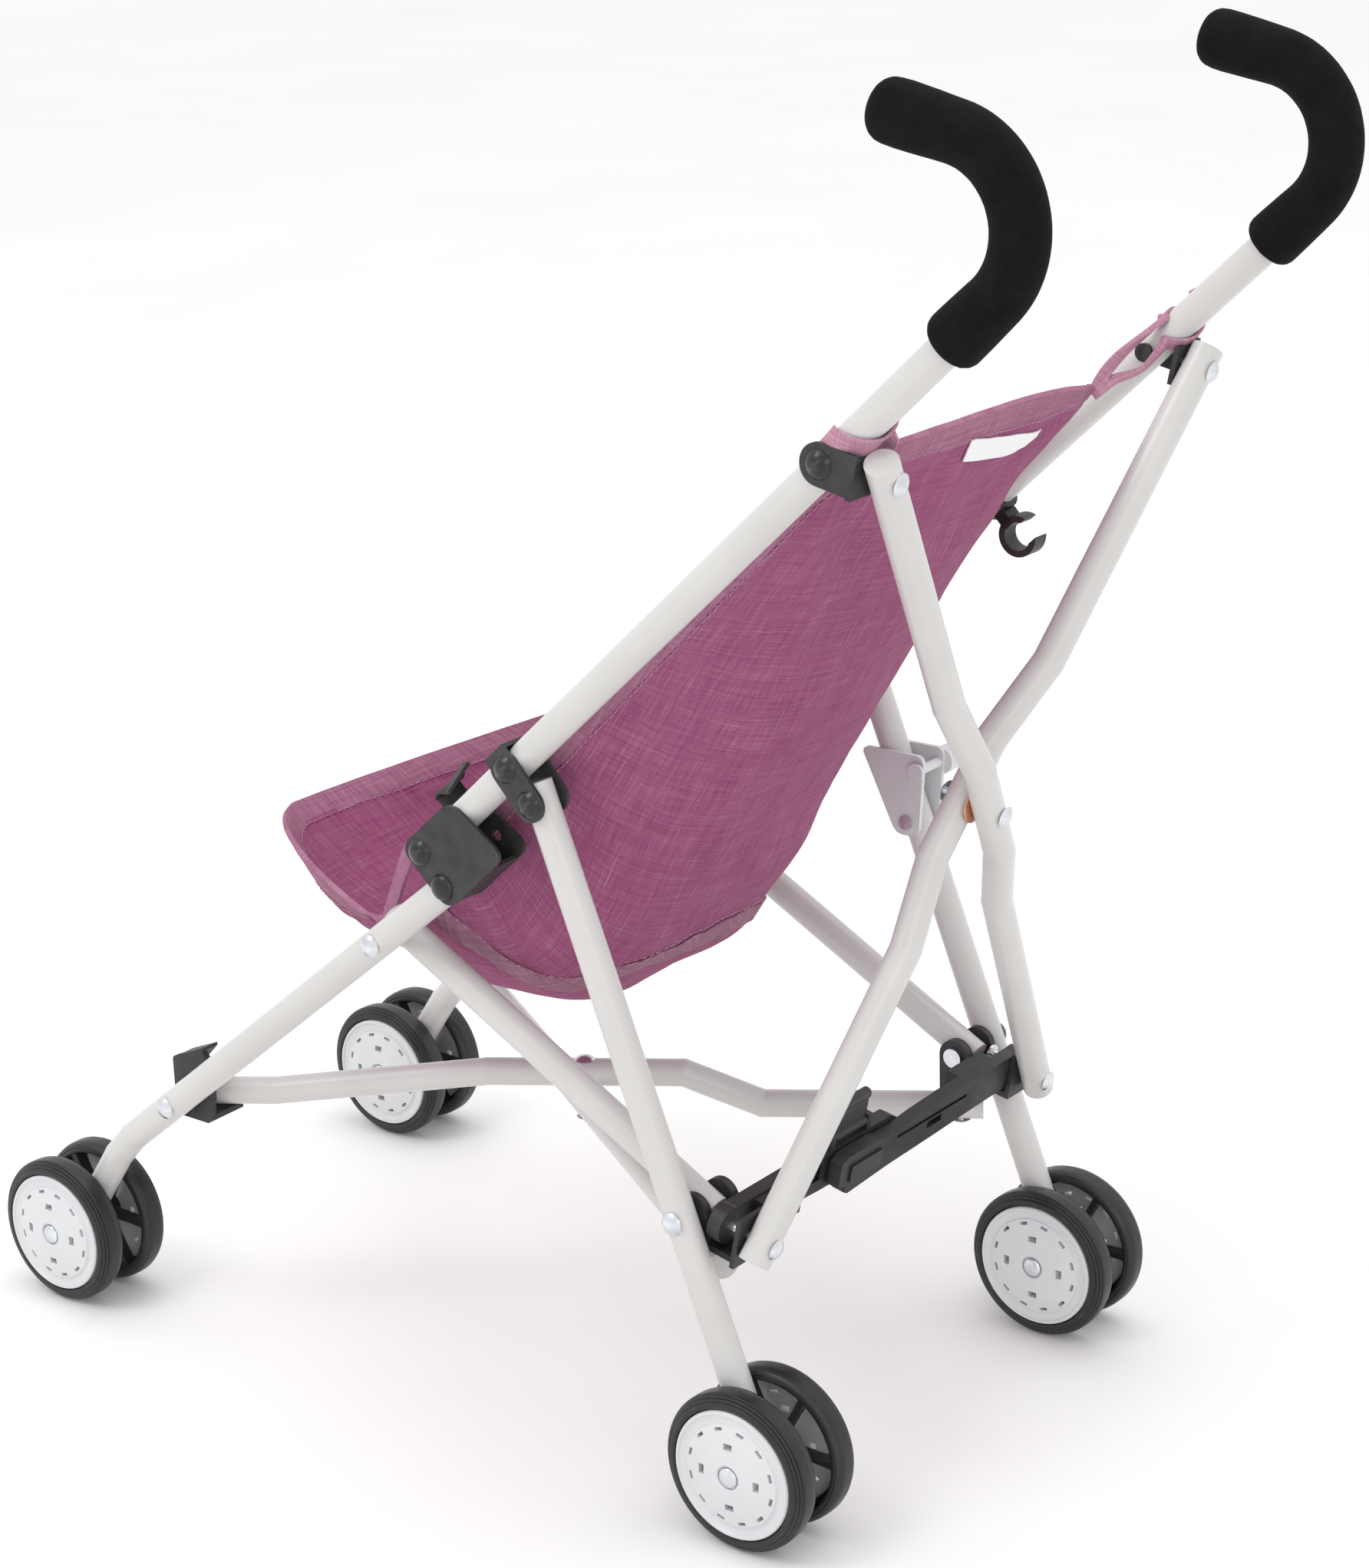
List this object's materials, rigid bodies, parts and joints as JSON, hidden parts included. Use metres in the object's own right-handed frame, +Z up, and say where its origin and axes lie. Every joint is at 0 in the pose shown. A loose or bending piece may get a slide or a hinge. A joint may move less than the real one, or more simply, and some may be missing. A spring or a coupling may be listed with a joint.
{
  "type": "doll stroller",
  "caption": "Umbrella-fold toy buggy for dolls with round white tubes, a hung cloth seat, twin wheels and two hooked foam grips.",
  "frame": {"origin": "centre of the bounding box at floor level", "axes": "+X to the buggy's left, -Y to its front, +Z up"},
  "size_m": [0.2446, 0.5068, 0.5297],
  "materials": {
    "white_tube": "semi-gloss powder coat",
    "black_plastic": "satin moulded",
    "white_plastic": "gloss moulded",
    "grip_foam": "matte foam",
    "zinc": "zinc plated",
    "black_rivet": "black enamel",
    "tread": "moulded ridged",
    "cap_white": "gloss moulded",
    "cloth": "melange weave",
    "webbing": "black webbing"
  },
  "bodies": {
    "left_rear": {"rear_leg_left": "white_tube", "rear_rivets_left": "zinc"},
    "left_push": {"push_tube_left": "white_tube", "grip_left": "grip_foam", "side_bracket_left": "black_plastic", "push_rivets_left": "black_rivet", "seat_sling": "cloth", "waist_belt": "webbing"},
    "left_front": {"front_leg_left": "white_tube", "hinge_plate_left": "black_plastic", "front_rivets_left": "zinc"},
    "side_link_left": {"side_link_left": "white_tube"},
    "rear_bracket_left": {"rear_bracket_left": "black_plastic"},
    "floor_knuckle_left": {"floor_knuckle_left": "black_plastic"},
    "top_bracket_left": {"top_bracket_left": "black_plastic"},
    "front_bracket_left": {"front_bracket_left": "black_plastic"},
    "lock_arm_left": {"lock_arm_left": "black_plastic"},
    "wheel_front_left_outer": {"wheel_front_left_outer": "tread", "cap_front_left_outer": "cap_white"},
    "wheel_front_left_inner": {"wheel_front_left_inner": "tread", "cap_front_left_inner": "cap_white"},
    "wheel_rear_left_outer": {"wheel_rear_left_outer": "tread", "cap_rear_left_outer": "cap_white"},
    "wheel_rear_left_inner": {"wheel_rear_left_inner": "tread", "cap_rear_left_inner": "cap_white"},
    "right_rear": {"rear_leg_right": "white_tube", "rear_rivets_right": "zinc"},
    "right_push": {"push_tube_right": "white_tube", "grip_right": "grip_foam", "side_bracket_right": "black_plastic", "push_rivets_right": "black_rivet", "storage_clip": "black_plastic"},
    "right_front": {"front_leg_right": "white_tube", "hinge_plate_right": "black_plastic", "front_rivets_right": "zinc"},
    "side_link_right": {"side_link_right": "white_tube"},
    "rear_bracket_right": {"rear_bracket_right": "black_plastic"},
    "floor_knuckle_right": {"floor_knuckle_right": "black_plastic"},
    "top_bracket_right": {"top_bracket_right": "black_plastic"},
    "front_bracket_right": {"front_bracket_right": "black_plastic"},
    "lock_arm_right": {"lock_arm_right": "black_plastic"},
    "wheel_front_right_outer": {"wheel_front_right_outer": "tread", "cap_front_right_outer": "cap_white"},
    "wheel_front_right_inner": {"wheel_front_right_inner": "tread", "cap_front_right_inner": "cap_white"},
    "wheel_rear_right_outer": {"wheel_rear_right_outer": "tread", "cap_rear_right_outer": "cap_white"},
    "wheel_rear_right_inner": {"wheel_rear_right_inner": "tread", "cap_rear_right_inner": "cap_white"},
    "back_tube_a": {"back_cross_tube_a": "white_tube", "back_rivets_a": "zinc"},
    "back_tube_b": {"back_cross_tube_b": "white_tube", "back_rivets_b": "zinc"},
    "floor_tube_p": {"floor_cross_tube_p": "white_tube", "floor_rivets_p": "zinc"},
    "floor_tube_q": {"floor_cross_tube_q": "white_tube", "floor_rivets_q": "zinc"},
    "lock_lever": {"lock_lever": "black_plastic"},
    "safety_latch": {"latch_plates": "white_plastic", "latch_knob": "white_plastic"}
  },
  "joints": [
    {"name": "frame_fold", "type": "hinge", "parent": "left_rear", "child": "left_push", "pos_m": [0.102, 0.04115, 0.26638], "axis": [1, 0, 0], "range_deg": [0, 57.58], "deforming": ["seat_sling", "waist_belt"]},
    {"name": "front_leg_fold_left", "type": "hinge", "parent": "left_push", "child": "left_front", "pos_m": [0.102, -0.0128, 0.2379], "axis": [1, 0, 0], "range_deg": [-173.52, 0]},
    {"name": "side_link_fold_left", "type": "hinge", "parent": "left_rear", "child": "side_link_left", "pos_m": [0.0866, 0.09865, 0.11707], "axis": [1, 0, 0], "range_deg": [-27.92, 0]},
    {"name": "floor_knuckle_fold_left", "type": "hinge", "parent": "left_rear", "child": "floor_knuckle_left", "pos_m": [0.08, 0.09865, 0.11707], "axis": [1, 0, 0], "range_deg": [-70.21, 0]},
    {"name": "top_bracket_fold_left", "type": "hinge", "parent": "left_push", "child": "top_bracket_left", "pos_m": [0.102, 0.17064, 0.40628], "axis": [1, 0, 0], "range_deg": [-26.23, 0]},
    {"name": "front_bracket_fold_left", "type": "hinge", "parent": "left_front", "child": "front_bracket_left", "pos_m": [0.102, -0.16231, 0.09831], "axis": [1, 0, 0], "range_deg": [0, 45.75]},
    {"name": "rear_bracket_fold_left", "type": "hinge", "parent": "left_rear", "child": "rear_bracket_left", "pos_m": [0.092, 0.09865, 0.11707], "axis": [1, 0, 0], "range_deg": [0, 31.39]},
    {"name": "back_tube_b_fold", "type": "hinge", "parent": "rear_bracket_left", "child": "back_tube_b", "pos_m": [0.0915, 0.12748, 0.11081], "axis": [0, 0.9772, -0.2121], "range_deg": [0, 23.98]},
    {"name": "back_tube_a_fold", "type": "hinge", "parent": "back_tube_b", "child": "back_tube_a", "pos_m": [0, 0.15927, 0.25725], "axis": [0, 0.9772, -0.2121], "range_deg": [-47.93, 0]},
    {"name": "rear_bracket_fold_right", "type": "hinge", "parent": "back_tube_a", "child": "rear_bracket_right", "pos_m": [-0.0915, 0.12748, 0.11081], "axis": [0, 0.9772, -0.2121], "range_deg": [0, 23.98]},
    {"name": "right_side_fold", "type": "hinge", "parent": "rear_bracket_right", "child": "right_rear", "pos_m": [-0.092, 0.09865, 0.11707], "axis": [1, 0, 0], "range_deg": [-31.39, 0]},
    {"name": "fold_push_right", "type": "hinge", "parent": "right_rear", "child": "right_push", "pos_m": [-0.102, 0.04115, 0.26638], "axis": [1, 0, 0], "range_deg": [0, 57.6]},
    {"name": "front_leg_fold_right", "type": "hinge", "parent": "right_push", "child": "right_front", "pos_m": [-0.102, -0.0128, 0.2379], "axis": [1, 0, 0], "range_deg": [-173.52, 0]},
    {"name": "side_link_fold_right", "type": "hinge", "parent": "right_rear", "child": "side_link_right", "pos_m": [-0.0866, 0.09865, 0.11707], "axis": [1, 0, 0], "range_deg": [-27.92, 0]},
    {"name": "floor_knuckle_fold_right", "type": "hinge", "parent": "right_rear", "child": "floor_knuckle_right", "pos_m": [-0.08, 0.09865, 0.11707], "axis": [1, 0, 0], "range_deg": [-70.21, 0]},
    {"name": "top_bracket_fold_right", "type": "hinge", "parent": "right_push", "child": "top_bracket_right", "pos_m": [-0.102, 0.17064, 0.40628], "axis": [1, 0, 0], "range_deg": [-26.23, 0]},
    {"name": "front_bracket_fold_right", "type": "hinge", "parent": "right_front", "child": "front_bracket_right", "pos_m": [-0.102, -0.16231, 0.09831], "axis": [1, 0, 0], "range_deg": [0, 45.75]},
    {"name": "floor_tube_q_fold", "type": "hinge", "parent": "floor_knuckle_left", "child": "floor_tube_q", "pos_m": [0.082, 0.09815, 0.0943], "axis": [0, 0, 1], "range_deg": [0, 27.7]},
    {"name": "floor_tube_p_fold", "type": "hinge", "parent": "floor_tube_q", "child": "floor_tube_p", "pos_m": [0, -0.02958, 0.0943], "axis": [0, 0, 1], "range_deg": [-55.39, 0]},
    {"name": "lock_arm_fold_left", "type": "hinge", "parent": "rear_bracket_left", "child": "lock_arm_left", "pos_m": [0.0915, 0.12748, 0.11081], "axis": [0, 0.9772, -0.2121], "range_deg": [0, 75.61]},
    {"name": "lock_arm_fold_right", "type": "hinge", "parent": "rear_bracket_right", "child": "lock_arm_right", "pos_m": [-0.0915, 0.12748, 0.11081], "axis": [0, 0.9772, -0.2121], "range_deg": [-75.61, 0]},
    {"name": "spin_front_left_outer", "type": "hinge", "parent": "left_front", "child": "wheel_front_left_outer", "pos_m": [0.1142, -0.2231, 0.031], "axis": [1, 0, 0], "continuous": true},
    {"name": "spin_front_left_inner", "type": "hinge", "parent": "left_front", "child": "wheel_front_left_inner", "pos_m": [0.0898, -0.2231, 0.031], "axis": [1, 0, 0], "continuous": true},
    {"name": "spin_rear_left_outer", "type": "hinge", "parent": "left_rear", "child": "wheel_rear_left_outer", "pos_m": [0.1142, 0.1318, 0.031], "axis": [1, 0, 0], "continuous": true},
    {"name": "spin_rear_left_inner", "type": "hinge", "parent": "left_rear", "child": "wheel_rear_left_inner", "pos_m": [0.0898, 0.1318, 0.031], "axis": [1, 0, 0], "continuous": true},
    {"name": "spin_front_right_outer", "type": "hinge", "parent": "right_front", "child": "wheel_front_right_outer", "pos_m": [-0.1142, -0.2231, 0.031], "axis": [1, 0, 0], "continuous": true},
    {"name": "spin_front_right_inner", "type": "hinge", "parent": "right_front", "child": "wheel_front_right_inner", "pos_m": [-0.0898, -0.2231, 0.031], "axis": [1, 0, 0], "continuous": true},
    {"name": "spin_rear_right_outer", "type": "hinge", "parent": "right_rear", "child": "wheel_rear_right_outer", "pos_m": [-0.1142, 0.1318, 0.031], "axis": [1, 0, 0], "continuous": true},
    {"name": "spin_rear_right_inner", "type": "hinge", "parent": "right_rear", "child": "wheel_rear_right_inner", "pos_m": [-0.0898, 0.1318, 0.031], "axis": [1, 0, 0], "continuous": true},
    {"name": "lock_release", "type": "hinge", "parent": "lock_arm_left", "child": "lock_lever", "pos_m": [0.0178, 0.11253, 0.1249], "axis": [1, 0, 0], "range_deg": [0, 22], "stiffness_Nm_per_rad": 0.02},
    {"name": "safety_latch_turn", "type": "hinge", "parent": "right_rear", "child": "safety_latch", "pos_m": [-0.102, 0.06487, 0.20479], "axis": [1, 0, 0], "range_deg": [-12, 0]}
  ],
  "couplings": [
    {"joint": "front_leg_fold_left", "follows": "frame_fold", "ratio": -3.0132},
    {"joint": "side_link_fold_left", "follows": "frame_fold", "ratio": -0.48451},
    {"joint": "floor_knuckle_fold_left", "follows": "frame_fold", "ratio": -1.219},
    {"joint": "top_bracket_fold_left", "follows": "frame_fold", "ratio": -0.45512},
    {"joint": "front_bracket_fold_left", "follows": "frame_fold", "ratio": 0.79425},
    {"joint": "rear_bracket_fold_left", "follows": "frame_fold", "ratio": 0.54488},
    {"joint": "back_tube_b_fold", "follows": "frame_fold", "ratio": 0.41607},
    {"joint": "back_tube_a_fold", "follows": "frame_fold", "ratio": -0.83213},
    {"joint": "rear_bracket_fold_right", "follows": "frame_fold", "ratio": 0.41607},
    {"joint": "right_side_fold", "follows": "frame_fold", "ratio": -0.54488},
    {"joint": "fold_push_right", "follows": "frame_fold", "ratio": 1},
    {"joint": "front_leg_fold_right", "follows": "frame_fold", "ratio": -3.0132},
    {"joint": "side_link_fold_right", "follows": "frame_fold", "ratio": -0.48451},
    {"joint": "floor_knuckle_fold_right", "follows": "frame_fold", "ratio": -1.219},
    {"joint": "top_bracket_fold_right", "follows": "frame_fold", "ratio": -0.45512},
    {"joint": "front_bracket_fold_right", "follows": "frame_fold", "ratio": 0.79425},
    {"joint": "floor_tube_q_fold", "follows": "frame_fold", "ratio": 0.4808},
    {"joint": "floor_tube_p_fold", "follows": "frame_fold", "ratio": -0.9616},
    {"joint": "lock_arm_fold_left", "follows": "frame_fold", "ratio": 1.3128},
    {"joint": "lock_arm_fold_right", "follows": "frame_fold", "ratio": -1.3128}
  ]
}
